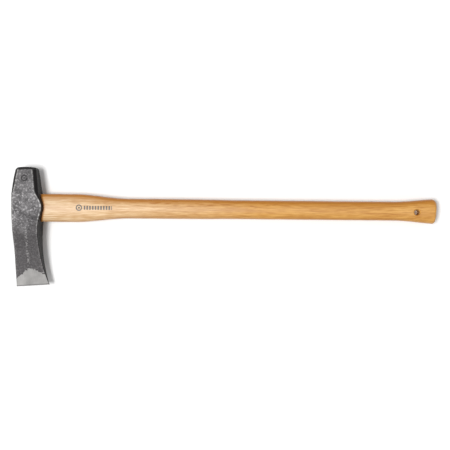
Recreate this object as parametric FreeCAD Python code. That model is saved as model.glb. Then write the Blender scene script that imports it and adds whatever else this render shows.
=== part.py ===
import FreeCAD, Part
import math
import os

# A splitting maul that lies on its cheek. +X runs along the handle from the head to the grip end,
# +Y runs from the splitting edge to the poll, and +Z runs through the cheeks. The origin is under the
# middle of the maul, on the surface that it lies on. Sizes are in millimetres.

MAUL_LENGTH = 800.0          # outer side of the head to the end of the grip
HEAD_LENGTH = 226.0          # splitting edge to poll
HEAD_THICKNESS = 58.0        # cheek to cheek at the eye

# Head outline. Depths are measured from the outer side of the head, towards the grip.
POLL_SIDE_Y = 108.4          # where the poll's sides end in its rounded corners
POLL_OUTER_DEPTH = 5.3
POLL_INNER_DEPTH = 44.2
POLL_FLAT_WIDTH = 18.0
POLL_CROWN_DROP = 1.2
POLL_CROWN_INSET = 4.0
OUTER_CROWN_Y = 55.6         # where the outer side stands furthest out
OUTER_BLADE_Y = -35.4
OUTER_BLADE_DEPTH = 5.1
TOE_DEPTH = 6.5
HEEL_DEPTH = 68.2
HEEL_RISE = 4.25             # the heel end of the edge lies nearer to the poll than the toe end
BOSS_TOP_Y = 68.1
BOSS_FOOT_Y = -0.4
BOSS_TOP_DEPTH = 49.0
BOSS_FOOT_DEPTH = 50.0
BOSS_DEPTH = 56.9
BOSS_FLANK_DEPTH = 54.9
BOSS_FLANK_REACH = 10.8      # how far the round of the boss reaches each side of the handle
NECK_Y = -17.4
FLARE_Y = -69.4
FLARE_DEPTH = 57.2

# Head thickness. Every face is a plane, and the two cheeks mirror each other.
EDGE_HALF = 0.6              # half the thickness of the blunted edge
BEVEL_RISE = 0.329           # half-thickness gained for each millimetre above the edge
RIDGE_RISE = 0.263
BEVEL_TOP = 33.6             # height of the ground bevel on the ridge
RIDGE_DEPTH = 31.7           # the ridge's place at the top of the bevel
RIDGE_LEAN = 0.058           # how far the ridge drifts to the outer side, for each millimetre up
TOE_FALL = 0.047             # fall of the cheek away from the ridge, towards the toe
HEEL_FALL = 0.029
POLL_TAPER_Y = 62.6
POLL_HALF = 22.0
POLL_CHAMFER = 5.5
POLL_END_CHAMFER = 4.2
HEEL_FACET_HEIGHT = 20.4
HEEL_FACET_WIDTH = 7.0

# Eye, tongue and wedges.
EYE_INNER_WIDTH = 51.5       # at the handle's side of the head
EYE_INNER_THICKNESS = 29.0
EYE_OUTER_WIDTH = 54.5
EYE_OUTER_THICKNESS = 31.5
WEDGE_LENGTH = 40.0
WEDGE_THICK_END = 7.0
WEDGE_THIN_END = 1.5
RING_RADIUS = 11.0
RING_LENGTH = 25.0
RING_THICK_WALL = 2.5
RING_THIN_WALL = 0.8

# Handle.
HANDLE_Y = 36.6
SHOULDER_WIDTH = 53.0
NECK_WIDTH = 37.4
GRIP_WIDTH = 35.6
KNOB_WIDTH = 47.4
SHOULDER_THICKNESS = 30.0
GRIP_THICKNESS = 28.0
KNOB_THICKNESS = 33.0
SHOULDER_END_X = -284.0      # the tall shoulder tapers from here
NECK_X = -184.0              # to here
GRIP_START_X = -90.0
GRIP_FULL_X = 40.0
KNOB_START_X = 318.0
KNOB_FULLNESS = 1.4          # how soon the knob's flare levels out
SECTION_COUNT = 46
KNOB_UPPER_RADIUS = 9.5
KNOB_LOWER_RADIUS = 5.8
KNOB_FACE_SLANT = 2.3        # the lower corner of the end face stands back by this much
KNOB_SIDE_RADIUS = 4.0

# Hanging hole.
HOLE_RADIUS = 5.0
HOLE_X = 362.0
HOLE_DROP = 2.0              # below the handle's axis
COUNTERSINK_RADIUS = 7.0
COUNTERSINK_DEPTH = 2.0

MID_Z = HEAD_THICKNESS / 2.0
OUTER_X = -MAUL_LENGTH / 2.0
GRIP_END_X = MAUL_LENGTH / 2.0
EDGE_Y = -HEAD_LENGTH / 2.0
POLL_Y = HEAD_LENGTH / 2.0
EDGE_TILT = HEEL_RISE / (HEEL_DEPTH - TOE_DEPTH)
FAR = 400.0                  # longer than anything that a cutting block has to pass
BOTH_CHEEKS = (1.0, -1.0)


def point(x, y, z=0.0):
    return FreeCAD.Vector(x, y, z)


def outline_point(depth, y):
    """A point of the head's outline, from its depth behind the outer side."""
    return point(OUTER_X + depth, y)


def blend(start, end, share):
    """A value between start and end that leaves both with no kink."""
    t = min(max(share, 0.0), 1.0)
    return start + (end - start) * t * t * (3.0 - 2.0 * t)


def line(start, end):
    return Part.LineSegment(start, end).toShape()


def arc(start, middle, end):
    return Part.Arc(start, middle, end).toShape()


def tangent_arc(start, direction, end):
    """An arc that leaves start in a given direction and ends at end."""
    chord = end - start
    sideways = point(-direction.y, direction.x)
    sideways.normalize()
    offset = chord.dot(sideways)
    radius = chord.dot(chord) / (2.0 * offset)
    centre = start + sideways * radius
    towards = (start + end) * 0.5 - centre
    towards.normalize()
    return arc(start, centre + towards * abs(radius), end)


def head_outline():
    """The head seen through its cheek, as one closed wire."""
    middle = (POLL_OUTER_DEPTH + POLL_INNER_DEPTH) / 2.0
    crown_y = POLL_Y - POLL_CROWN_DROP
    flat_outer = outline_point(middle - POLL_FLAT_WIDTH / 2.0, POLL_Y)
    flat_inner = outline_point(middle + POLL_FLAT_WIDTH / 2.0, POLL_Y)
    crown_outer = outline_point(POLL_OUTER_DEPTH + POLL_CROWN_INSET, crown_y)
    crown_inner = outline_point(POLL_INNER_DEPTH - POLL_CROWN_INSET, crown_y)
    corner_outer = outline_point(POLL_OUTER_DEPTH, POLL_SIDE_Y)
    corner_inner = outline_point(POLL_INNER_DEPTH, POLL_SIDE_Y)
    boss_top = outline_point(BOSS_TOP_DEPTH, BOSS_TOP_Y)
    boss_foot = outline_point(BOSS_FOOT_DEPTH, BOSS_FOOT_Y)
    neck = outline_point(BOSS_FOOT_DEPTH, NECK_Y)
    heel = outline_point(HEEL_DEPTH, EDGE_Y + HEEL_RISE)
    toe = outline_point(TOE_DEPTH, EDGE_Y)
    blade_outer = outline_point(OUTER_BLADE_DEPTH, OUTER_BLADE_Y)
    crown = outline_point(0.0, OUTER_CROWN_Y)

    boss = Part.BSplineCurve()
    boss.interpolate(
        Points=[
            boss_top,
            outline_point(BOSS_FLANK_DEPTH, HANDLE_Y + BOSS_FLANK_REACH),
            outline_point(BOSS_DEPTH, HANDLE_Y),
            outline_point(BOSS_FLANK_DEPTH, HANDLE_Y - BOSS_FLANK_REACH),
            boss_foot,
        ],
        InitialTangent=boss_top - corner_inner,
        FinalTangent=neck - boss_foot,
    )
    edges = [
        line(flat_outer, flat_inner),
        tangent_arc(flat_inner, point(1.0, 0.0), crown_inner),
        tangent_arc(corner_inner, corner_inner - boss_top, crown_inner),
        line(corner_inner, boss_top),
        boss.toShape(),
        line(boss_foot, neck),
        arc(neck, outline_point(FLARE_DEPTH, FLARE_Y), heel),
        line(heel, toe),
        line(toe, blade_outer),
        tangent_arc(crown, point(0.0, -1.0), blade_outer),
        tangent_arc(crown, point(0.0, 1.0), corner_outer),
        tangent_arc(corner_outer, point(0.0, 1.0), crown_outer),
        tangent_arc(flat_outer, point(-1.0, 0.0), crown_outer),
    ]
    return Part.Wire(Part.__sortEdges__(edges))


def block_above(first, second, third):
    """A large block that fills the side of a plane that faces away from the head's middle plane."""
    normal = (second - first).cross(third - first)
    normal.normalize()
    if normal.z * (first.z - MID_Z) < 0.0:
        normal = normal * -1.0
    block = Part.makeBox(2.0 * FAR, 2.0 * FAR, FAR, point(-FAR, -FAR, 0.0))
    block.Placement = FreeCAD.Placement(first, FreeCAD.Rotation(point(0.0, 0.0, 1.0), normal))
    return block


def cheek_point(depth, y, half, side):
    """A point on one cheek: its depth and y in the outline, and its distance from the middle plane."""
    return point(OUTER_X + depth, y, MID_Z + side * half)


def edge_y(depth, height):
    """The y of a point that stands this far above the splitting edge."""
    return EDGE_Y + EDGE_TILT * (depth - TOE_DEPTH) + height


def bevel_half(height):
    return EDGE_HALF + BEVEL_RISE * height


def blade_cuts(side):
    """The ground bevel, and the two shallow planes that meet in the ridge above it."""
    ridge_half = bevel_half(BEVEL_TOP)
    up = 60.0
    ridge_low = (RIDGE_DEPTH, BEVEL_TOP, ridge_half)
    ridge_high = (RIDGE_DEPTH - RIDGE_LEAN * up, BEVEL_TOP + up, ridge_half + RIDGE_RISE * up)
    bevel = [(TOE_DEPTH, 0.0, EDGE_HALF), (HEEL_DEPTH, 0.0, EDGE_HALF), ridge_low]
    toe_plane = [ridge_low, ridge_high, (0.0, BEVEL_TOP, ridge_half - TOE_FALL * RIDGE_DEPTH)]
    heel_reach = HEEL_DEPTH - RIDGE_DEPTH
    heel_plane = [ridge_low, ridge_high, (HEEL_DEPTH, BEVEL_TOP, ridge_half - HEEL_FALL * heel_reach)]
    blocks = []
    for plane in (bevel, toe_plane, heel_plane):
        corners = [cheek_point(depth, edge_y(depth, height), half, side) for depth, height, half in plane]
        blocks.append(block_above(*corners))
    return blocks


def poll_cuts(side):
    """The poll's taper, its long chamfers that die out at the eye, and its end chamfer."""
    fade = 0.8
    taper = [
        cheek_point(0.0, POLL_TAPER_Y, MID_Z, side),
        cheek_point(BOSS_DEPTH, POLL_TAPER_Y, MID_Z, side),
        cheek_point(0.0, POLL_SIDE_Y, POLL_HALF, side),
    ]
    end = [
        cheek_point(0.0, POLL_Y - POLL_END_CHAMFER, POLL_HALF, side),
        cheek_point(BOSS_DEPTH, POLL_Y - POLL_END_CHAMFER, POLL_HALF, side),
        cheek_point(0.0, POLL_Y, POLL_HALF - POLL_END_CHAMFER, side),
    ]
    blocks = [block_above(*taper), block_above(*end)]
    for depth, fade_depth, inwards in (
        (POLL_INNER_DEPTH, BOSS_TOP_DEPTH, -1.0),
        (POLL_OUTER_DEPTH, 1.0, 1.0),
    ):
        blocks.append(
            block_above(
                cheek_point(depth, POLL_SIDE_Y, POLL_HALF - POLL_CHAMFER, side),
                cheek_point(depth + inwards * POLL_CHAMFER, POLL_SIDE_Y, POLL_HALF, side),
                cheek_point(fade_depth + inwards * fade, BOSS_TOP_Y, MID_Z - fade, side),
            )
        )
    return blocks


def heel_cut(side):
    """The small ground facet on the heel's corner."""
    top_depth = HEEL_DEPTH - HEEL_FACET_WIDTH - 1.0
    return block_above(
        cheek_point(top_depth, edge_y(top_depth, HEEL_FACET_HEIGHT), bevel_half(HEEL_FACET_HEIGHT), side),
        cheek_point(HEEL_DEPTH - HEEL_FACET_WIDTH, edge_y(HEEL_DEPTH, 0.0), EDGE_HALF, side),
        cheek_point(HEEL_DEPTH, edge_y(HEEL_DEPTH, 0.0), 0.0, side),
    )


def head_blank():
    """The head before its eye is cut."""
    blank = Part.Face(head_outline()).extrude(point(0.0, 0.0, HEAD_THICKNESS))
    cuts = []
    for side in BOTH_CHEEKS:
        cuts += blade_cuts(side) + poll_cuts(side)
        cuts.append(heel_cut(side))
    return blank.cut(cuts)


def oval(x, width, thickness):
    """An upright oval across the handle, of four arcs: two flat sides and two round ends."""
    a = width / 2.0
    b = thickness / 2.0
    end_radius = b * 0.72
    reach = a - end_radius
    side_radius = (reach * reach + b * b - end_radius * end_radius) / (2.0 * (b - end_radius))
    fall = side_radius - b
    across = end_radius * reach / (side_radius - end_radius)
    up = end_radius * fall / (side_radius - end_radius)

    def at(y, z):
        return point(x, HANDLE_Y + y, MID_Z + z)

    upper, lower = at(reach + across, up), at(-reach - across, up)
    upper_under, lower_under = at(reach + across, -up), at(-reach - across, -up)
    return Part.Wire(
        [
            arc(upper, at(0.0, b), lower),
            arc(lower, at(-a, 0.0), lower_under),
            arc(lower_under, at(0.0, -b), upper_under),
            arc(upper_under, at(a, 0.0), upper),
        ]
    )


def handle_width(x):
    """The handle's height across the grain at a place along it."""
    if x < NECK_X:
        return blend(SHOULDER_WIDTH, NECK_WIDTH, (x - SHOULDER_END_X) / (NECK_X - SHOULDER_END_X))
    if x < KNOB_START_X:
        return blend(NECK_WIDTH, GRIP_WIDTH, (x - GRIP_START_X) / (GRIP_FULL_X - GRIP_START_X))
    share = (x - KNOB_START_X) / (GRIP_END_X - KNOB_START_X)
    flare = share * share * (1.0 + KNOB_FULLNESS - KNOB_FULLNESS * share)
    return GRIP_WIDTH + (KNOB_WIDTH - GRIP_WIDTH) * flare


def handle_thickness(x):
    if x < KNOB_START_X:
        share = (x - SHOULDER_END_X) / (GRIP_FULL_X - SHOULDER_END_X)
        return blend(SHOULDER_THICKNESS, GRIP_THICKNESS, share)
    share = (x - KNOB_START_X) / (GRIP_END_X - KNOB_START_X)
    return blend(GRIP_THICKNESS, KNOB_THICKNESS, share)


def shaft():
    """The handle outside the eye, before its end is rounded."""
    start = OUTER_X + BOSS_TOP_DEPTH
    step = (GRIP_END_X - start) / (SECTION_COUNT - 1)
    wires = []
    for index in range(SECTION_COUNT):
        x = start + step * index
        wires.append(oval(x, handle_width(x), handle_thickness(x)))
    return Part.makeLoft(wires, True, False)


def knob_end():
    """A long block with the knob's rounded end: the slanted end face and the corners round it."""
    upper_y = HANDLE_Y + KNOB_WIDTH / 2.0
    lower_y = HANDLE_Y - KNOB_WIDTH / 2.0
    clear = (SHOULDER_WIDTH - KNOB_WIDTH) / 2.0 + 5.0
    clear_x = NECK_X
    lower_x = GRIP_END_X - KNOB_FACE_SLANT
    upper_mid = KNOB_UPPER_RADIUS * (1.0 - math.sqrt(0.5))
    lower_mid = KNOB_LOWER_RADIUS * (1.0 - math.sqrt(0.5))
    upper_turn = point(GRIP_END_X - KNOB_UPPER_RADIUS, upper_y)
    lower_turn = point(lower_x - KNOB_LOWER_RADIUS, lower_y)
    upper_face = point(GRIP_END_X, upper_y - KNOB_UPPER_RADIUS)
    lower_face = point(lower_x, lower_y + KNOB_LOWER_RADIUS)
    outline = [
        line(point(OUTER_X, upper_y + clear), point(clear_x, upper_y + clear)),
        line(point(clear_x, upper_y + clear), point(clear_x, upper_y)),
        line(point(clear_x, upper_y), upper_turn),
        arc(upper_turn, point(GRIP_END_X - upper_mid, upper_y - upper_mid), upper_face),
        line(upper_face, lower_face),
        arc(lower_face, point(lower_x - lower_mid, lower_y + lower_mid), lower_turn),
        line(lower_turn, point(clear_x, lower_y)),
        line(point(clear_x, lower_y), point(clear_x, lower_y - clear)),
        line(point(clear_x, lower_y - clear), point(OUTER_X, lower_y - clear)),
        line(point(OUTER_X, lower_y - clear), point(OUTER_X, upper_y + clear)),
    ]
    profile = Part.Face(Part.Wire(outline)).extrude(point(0.0, 0.0, HEAD_THICKNESS))
    low_z = MID_Z - KNOB_THICKNESS / 2.0
    slab = Part.makeBox(MAUL_LENGTH, FAR, KNOB_THICKNESS, point(OUTER_X, -FAR / 2.0, low_z))
    rims = [edge for edge in slab.Edges if edge.BoundBox.XMin > GRIP_END_X - 1.0 and edge.Length == FAR]
    return profile.common(slab.makeFillet(KNOB_SIDE_RADIUS, rims))


def hanging_hole():
    """The hole through the knob with a countersink at each mouth."""
    y = HANDLE_Y - HOLE_DROP
    tools = [Part.makeCylinder(HOLE_RADIUS, HEAD_THICKNESS, point(HOLE_X, y, 0.0))]
    mouth = handle_thickness(HOLE_X) / 2.0
    over = 3.0
    spread = (COUNTERSINK_RADIUS - HOLE_RADIUS) / COUNTERSINK_DEPTH
    for side in BOTH_CHEEKS:
        tools.append(
            Part.makeCone(
                HOLE_RADIUS,
                COUNTERSINK_RADIUS + over * spread,
                COUNTERSINK_DEPTH + over,
                point(HOLE_X, y, MID_Z + side * (mouth - COUNTERSINK_DEPTH)),
                point(0.0, 0.0, side),
            )
        )
    return tools


def eye():
    """The hole through the head. It widens towards the outer side, where the wedges go in."""
    over = 10.0
    grow_width = (EYE_OUTER_WIDTH - EYE_INNER_WIDTH) * over / BOSS_DEPTH
    grow_thickness = (EYE_OUTER_THICKNESS - EYE_INNER_THICKNESS) * over / BOSS_DEPTH
    outer = oval(OUTER_X - over, EYE_OUTER_WIDTH + grow_width, EYE_OUTER_THICKNESS + grow_thickness)
    inner = oval(
        OUTER_X + BOSS_DEPTH + over,
        EYE_INNER_WIDTH - grow_width,
        EYE_INNER_THICKNESS - grow_thickness,
    )
    return Part.makeLoft([outer, inner], True, True)


def wedge_blank():
    """The wooden wedge's taper, still wider than the eye."""
    thin = WEDGE_THIN_END / 2.0
    thick = WEDGE_THICK_END / 2.0
    over = 5.0
    thick_over = thick + (thick - thin) * over / WEDGE_LENGTH
    low_y = HANDLE_Y - EYE_OUTER_WIDTH
    profile = [
        point(OUTER_X - over, low_y, MID_Z - thick_over),
        point(OUTER_X + WEDGE_LENGTH, low_y, MID_Z - thin),
        point(OUTER_X + WEDGE_LENGTH, low_y, MID_Z + thin),
        point(OUTER_X - over, low_y, MID_Z + thick_over),
    ]
    face = Part.Face(Part.makePolygon(profile + profile[:1]))
    return face.extrude(point(0.0, 2.0 * EYE_OUTER_WIDTH, 0.0))


def ring_blank():
    """The ring wedge: a straight outer wall, and a bore that leaves the far rim thin."""
    over = 5.0
    extra = (RING_THICK_WALL - RING_THIN_WALL) * over / RING_LENGTH
    start = point(OUTER_X - over, HANDLE_Y, MID_Z)
    along = point(1.0, 0.0, 0.0)
    length = RING_LENGTH + over
    wall = Part.makeCylinder(RING_RADIUS, length, start, along)
    mouth = RING_RADIUS - RING_THICK_WALL - extra
    bore = Part.makeCone(mouth, RING_RADIUS - RING_THIN_WALL, length, start, along)
    return wall.cut(bore)


def build():
    """Every sub-part, by the name of its node."""
    blank = head_blank()
    opening = eye()
    wedge = wedge_blank()
    ring = ring_blank()
    inside = opening.common(blank)
    outside = shaft().cut(blank).common(knob_end())
    handle = outside.fuse(inside).cut(hanging_hole() + [wedge, ring]).removeSplitter()
    return {
        "maul_head": blank.cut(opening),
        "handle": handle,
        "wooden_wedge": inside.common(wedge).cut(ring),
        "steel_ring_wedge": inside.common(ring),
    }


os.makedirs("parts", exist_ok=True)
for name, shape in build().items():
    if not shape.isValid() or len(shape.Solids) != 1:
        raise ValueError(f"{name} is not one valid solid")
    box = shape.optimalBoundingBox(False, True)
    print(
        name,
        f"{shape.Volume:.0f} mm3",
        f"X {box.XMin:.2f} {box.XMax:.2f}",
        f"Y {box.YMin:.2f} {box.YMax:.2f}",
        f"Z {box.ZMin:.2f} {box.ZMax:.2f}",
    )
    shape.exportStep(f"parts/{name}.step")
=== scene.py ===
import math
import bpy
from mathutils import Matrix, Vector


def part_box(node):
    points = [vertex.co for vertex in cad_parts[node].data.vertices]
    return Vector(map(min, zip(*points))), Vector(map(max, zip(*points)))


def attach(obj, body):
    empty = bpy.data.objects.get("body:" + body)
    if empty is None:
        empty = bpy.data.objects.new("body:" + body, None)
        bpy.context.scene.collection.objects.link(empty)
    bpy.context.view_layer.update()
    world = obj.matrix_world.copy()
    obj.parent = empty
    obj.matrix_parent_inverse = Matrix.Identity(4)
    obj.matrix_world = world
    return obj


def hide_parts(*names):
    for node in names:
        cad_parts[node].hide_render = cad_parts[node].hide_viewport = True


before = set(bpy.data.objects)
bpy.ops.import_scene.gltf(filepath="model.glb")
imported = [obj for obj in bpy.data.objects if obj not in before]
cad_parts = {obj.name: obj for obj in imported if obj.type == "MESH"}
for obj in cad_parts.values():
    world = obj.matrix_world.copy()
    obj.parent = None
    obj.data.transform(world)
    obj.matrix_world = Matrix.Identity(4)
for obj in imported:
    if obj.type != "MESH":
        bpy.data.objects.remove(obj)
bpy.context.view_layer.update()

from types import SimpleNamespace

import bpy
import numpy as np
from mathutils import Vector
from mathutils.kdtree import KDTree

bl_info = {
    "name": "Splitting Maul",
    "version": (1, 0, 0),
    "blender": (4, 5, 0),
    "location": "3D View > Sidebar > Maul",
    "description": "Forges, turns and wedges a splitting maul around its packed frame",
    "category": "Object",
}

BODY = "root"
MM = 0.001

HEAD_LOW, HEAD_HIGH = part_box("maul_head")
RING_LOW, RING_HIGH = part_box("steel_ring_wedge")

OUTER_X = HEAD_LOW.x                              # outer side of the head
MID_Z = (HEAD_LOW.z + HEAD_HIGH.z) / 2.0          # the plane through the splitting edge and the handle
HANDLE_Y = (RING_LOW.y + RING_HIGH.y) / 2.0       # the handle's axis
HEAD_LENGTH = HEAD_HIGH.y - HEAD_LOW.y
HANDLE_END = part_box("handle")[1].x
WEDGE_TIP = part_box("wooden_wedge")[1].x


# Settings

def length(name, millimetres, description):
    return bpy.props.FloatProperty(
        name=name, description=description, default=millimetres * MM, unit="LENGTH", precision=5
    )


def ratio(name, value, description):
    return bpy.props.FloatProperty(name=name, description=description, default=value, precision=4)


def count(name, value, description):
    return bpy.props.IntProperty(name=name, description=description, default=value, min=1)


def colour(name, value, description):
    return bpy.props.FloatVectorProperty(
        name=name, description=description, default=value, size=3, min=0.0, max=1.0, subtype="COLOR"
    )


class MAUL_PG_head(bpy.types.PropertyGroup):
    """Sizes of the forged head. Depths run from its outer side towards the grip."""

    poll_side_y: length("Poll corner", 108.4, "Where the poll's sides turn into its end")
    poll_outer_depth: length("Poll outer depth", 5.3, "Set-back of the poll on the outer side")
    poll_inner_depth: length("Poll inner depth", 44.2, "Depth of the poll on the handle's side")
    poll_half: length("Poll half thickness", 22.0, "Half of the poll's thickness")
    poll_taper_y: length("Poll taper start", 62.6, "Where the cheeks start to taper to the poll")
    poll_crown: length("Poll crown", 1.2, "Drop of the struck face towards its sides")
    poll_inner_chamfer: length("Poll inner chamfer", 6.6, "Leg of the long chamfer on the handle's side")
    poll_outer_chamfer: length("Poll outer chamfer", 4.8, "Leg of the long chamfer on the outer side")
    corner_chamfer: length("Corner chamfer", 1.0, "Leg of the forged corners elsewhere")
    corner_round: length("Corner round", 0.7, "Rounding at both sides of a corner's chamfer")
    crown_y: length("Outer crown", 55.6, "Where the outer side stands furthest out")
    outer_blade_y: length("Outer blade start", -35.4, "Where the outer side becomes straight")
    outer_blade_depth: length("Outer blade depth", 5.1, "Set-back of the outer side at that place")
    toe_depth: length("Toe depth", 6.5, "Set-back of the edge's outer corner")
    heel_depth: length("Heel depth", 68.2, "Depth of the edge's corner under the handle")
    heel_rise: length("Heel rise", 4.25, "How much nearer to the poll the heel lies than the toe")
    boss_depth: length("Eye boss depth", 56.9, "Depth of the boss round the eye")
    boss_flank_depth: length("Boss flank depth", 54.9, "Depth of the boss at its flanks")
    boss_reach: length("Boss reach", 10.8, "Reach of the boss's round each side of the handle")
    boss_top_y: length("Boss top", 68.1, "Where the boss meets the poll")
    boss_top_depth: length("Boss top depth", 49.0, "Depth of the side there")
    neck_depth: length("Neck depth", 50.0, "Depth of the side below the boss")
    boss_foot_y: length("Boss foot", -0.4, "Where the boss ends below the handle")
    neck_y: length("Neck", -17.4, "Where the flare to the heel starts")
    flare_sag: length("Flare hollow", 3.5, "Hollow of the flare between neck and heel")
    blade_draft: ratio("Blade draft", 0.06, "Lean of the blade's side walls to the parting line")
    edge_half: length("Edge half thickness", 0.6, "Half of the blunted edge's thickness")
    bevel_rise: ratio("Bevel rise", 0.329, "Half thickness gained above the edge on the ground bevel")
    bevel_top: length("Bevel top", 33.6, "Height of the ground bevel on the ridge")
    ridge_rise: ratio("Ridge rise", 0.263, "Half thickness gained along the ridge")
    ridge_depth: length("Ridge depth", 31.7, "Place of the ridge at the top of the bevel")
    ridge_lean: ratio("Ridge lean", 0.058, "Drift of the ridge to the outer side")
    toe_fall: ratio("Toe fall", 0.047, "Fall of the cheek from the ridge towards the toe")
    heel_fall: ratio("Heel fall", 0.029, "Fall of the cheek from the ridge towards the heel")
    hammer_depth: length("Hammer depth", 0.10, "Depth of the broad hammer dents")
    scale_depth: length("Scale depth", 0.12, "Depth of the small scale pits")
    punch_depth: length("Punch depth", 0.55, "Depth of the plain round punch mark on the poll")
    punch_radius: length("Punch radius", 5.0, "Radius of the punch mark")
    seed: count("Seed", 7, "Seed of the forged skin")


class MAUL_PG_handle(bpy.types.PropertyGroup):
    """Sizes of the wooden handle."""

    shoulder_width: length("Shoulder height", 53.0, "Height of the handle at the head")
    neck_width: length("Neck height", 37.4, "Height behind the shoulder")
    grip_width: length("Grip height", 35.6, "Height of the grip")
    knob_width: length("Knob height", 47.4, "Height of the knob")
    shoulder_thickness: length("Shoulder thickness", 30.0, "Thickness at the head")
    grip_thickness: length("Grip thickness", 28.0, "Thickness of the grip")
    knob_thickness: length("Knob thickness", 33.0, "Thickness of the knob")
    shoulder_end_x: length("Shoulder end", -284.0, "Where the shoulder starts to taper")
    neck_x: length("Taper end", -184.0, "Where the shoulder's taper ends")
    grip_start_x: length("Grip start", -90.0, "Where the grip starts to slim")
    grip_full_x: length("Grip full", 40.0, "Where the grip has its own height")
    knob_start_x: length("Knob start", 318.0, "Where the knob starts to flare")
    knob_fullness: ratio("Knob fullness", 1.4, "How soon the flare levels out")
    knob_upper_round: length("Knob upper round", 9.5, "Rounding of the end's upper corner")
    knob_lower_round: length("Knob lower round", 5.8, "Rounding of the end's lower corner")
    knob_side_round: length("Knob side round", 4.0, "Rounding of the end's sides")
    knob_slant: length("Knob slant", 2.3, "Set-back of the end's lower corner")
    section_power: ratio("Section power", 2.35, "Squareness of the oval section")
    sanding_depth: length("Sanding waves", 0.12, "Depth of the long waves that sanding leaves")
    hole_radius: length("Hole radius", 5.0, "Radius of the hanging hole")
    hole_x: length("Hole place", 362.0, "Place of the hole along the handle")
    hole_drop: length("Hole drop", 2.0, "How far the hole lies below the handle's axis")
    sink_radius: length("Countersink radius", 7.0, "Radius of the countersink")
    sink_depth: length("Countersink depth", 2.0, "Depth of the countersink")


class MAUL_PG_eye(bpy.types.PropertyGroup):
    """Sizes of the eye, the tongue in it and its two wedges."""

    inner_width: length("Inner height", 51.5, "Height of the eye at the handle's side")
    inner_thickness: length("Inner thickness", 29.0, "Thickness of the eye at the handle's side")
    outer_width: length("Outer height", 54.5, "Height of the eye at the outer side")
    outer_thickness: length("Outer thickness", 31.5, "Thickness of the eye at the outer side")
    fit_gap: length("Fit gap", 0.05, "Gap that keeps touching surfaces apart")
    tongue_sink: length("Tongue sink", 0.35, "How far the tongue's end lies below the steel")
    wedge_thick: length("Wedge thick end", 7.0, "Thickness of the wooden wedge where it was struck")
    wedge_thin: length("Wedge thin end", 1.5, "Thickness of its driven end")
    ring_thick_wall: length("Ring thick wall", 2.5, "Wall of the ring wedge where it was struck")
    ring_thin_wall: length("Ring thin wall", 0.8, "Wall of its driven end")


class MAUL_PG_finish(bpy.types.PropertyGroup):
    """Colours of the finishes."""

    cheek: colour("Cheek steel", (0.186, 0.179, 0.182), "Brushed-off forging scale on the cheeks")
    blade: colour("Blade steel", (0.108, 0.102, 0.104), "Darker, finer scale on the blade")
    # Black scale with painted shade, where the walls and chamfers turn from the light.
    wall: colour("Wall scale and shade", (0.014, 0.0133, 0.0127), "Black scale and painted shade on the side walls")
    chamfer: colour("Chamfer scale and shade", (0.012, 0.011, 0.011), "Blacker scale and painted shade on the chamfers")
    # Wear colour, also used for painted highlights on the cheek's rim and along the ridge.
    wear_and_highlight: colour("Worn steel and painted highlight", (0.42, 0.41, 0.40), "Rubbed steel and painted highlights on corners and the ridge")
    ground: colour("Ground steel", (0.424, 0.415, 0.405), "Ground bevel")
    ring: colour("Ring steel", (0.33, 0.325, 0.32), "Steel of the ring wedge")
    # Pale wood near the head is partly a painted sheen of the light.
    pale_wood_and_painted_sheen: colour("Pale wood", (0.695, 0.490, 0.288), "Wood near the head")
    warm_wood: colour("Warm wood", (0.610, 0.303, 0.070), "Wood at the grip end")
    late_wood: colour("Late wood", (0.47, 0.205, 0.052), "Darker bands of the growth rings")
    red_wood: colour("Red wood", (0.36, 0.125, 0.030), "Short red-brown dashes in the grain")
    # Oil-darkened wood with painted shade where the handle enters the eye.
    joint_oil_and_shade: colour("Joint wood", (0.10, 0.028, 0.006), "Oil-soaked wood and painted shade where it enters the eye")
    # Deeper wood with painted shade on the narrow sides and near the joint.
    deep_wood_and_shade: colour("Side wood", (0.45, 0.165, 0.012), "Deeper wood and painted shade along the handle's narrow sides and at the joint")
    wedge_wood: colour("Wedge wood", (0.30, 0.15, 0.065), "The wedge's darker wood")
    mark: colour("Mark", (0.07, 0.058, 0.05), "Print of the plain mark")
    floor: colour("Floor", (0.95, 0.95, 0.95), "Studio floor")


# Small helpers

def settings():
    return bpy.context.scene.maul


def picked(group, *names):
    """Some of a group's settings, by their names."""
    return {name: getattr(group, name) for name in names}


def smoothstep(value, start, end):
    t = np.clip((value - start) / (end - start), 0.0, 1.0)
    return t * t * (3.0 - 2.0 * t)


def soft_min(a, b, softness):
    """The smaller of two values, with the kink between them rounded."""
    h = np.maximum(softness - np.abs(a - b), 0.0) / softness
    return np.minimum(a, b) - h * h * softness / 4.0


def curve_through(points, start_slope, end_slope, at):
    """The smooth cubic curve through (place, value) points with given slopes at both ends."""
    x, v = np.array(sorted(points)).T
    step = np.diff(x)
    secant = np.diff(v) / step
    system = np.eye(len(x))
    right = np.zeros(len(x))
    right[0], right[-1] = start_slope, end_slope
    for i in range(1, len(x) - 1):
        system[i, i - 1:i + 2] = step[i], 2.0 * (step[i - 1] + step[i]), step[i - 1]
        right[i] = 3.0 * (step[i] * secant[i - 1] + step[i - 1] * secant[i])
    slope = np.linalg.solve(system, right)
    i = np.clip(np.searchsorted(x, at) - 1, 0, len(x) - 2)
    t = np.clip((at - x[i]) / step[i], 0.0, 1.0)
    rise = v[i] * (1 + 2 * t) * (1 - t) ** 2 + v[i + 1] * t * t * (3 - 2 * t)
    return rise + step[i] * (slope[i] * t * (1 - t) ** 2 - slope[i + 1] * t * t * (1 - t))


def perimeter(columns, rows):
    """The places on a rectangle's rim, once round from its upper left corner."""
    top = [(i, rows) for i in range(columns)]
    right = [(columns, j) for j in range(rows, 0, -1)]
    bottom = [(i, 0) for i in range(columns, 0, -1)]
    left = [(0, j) for j in range(rows)]
    return top + right + bottom + left


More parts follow.
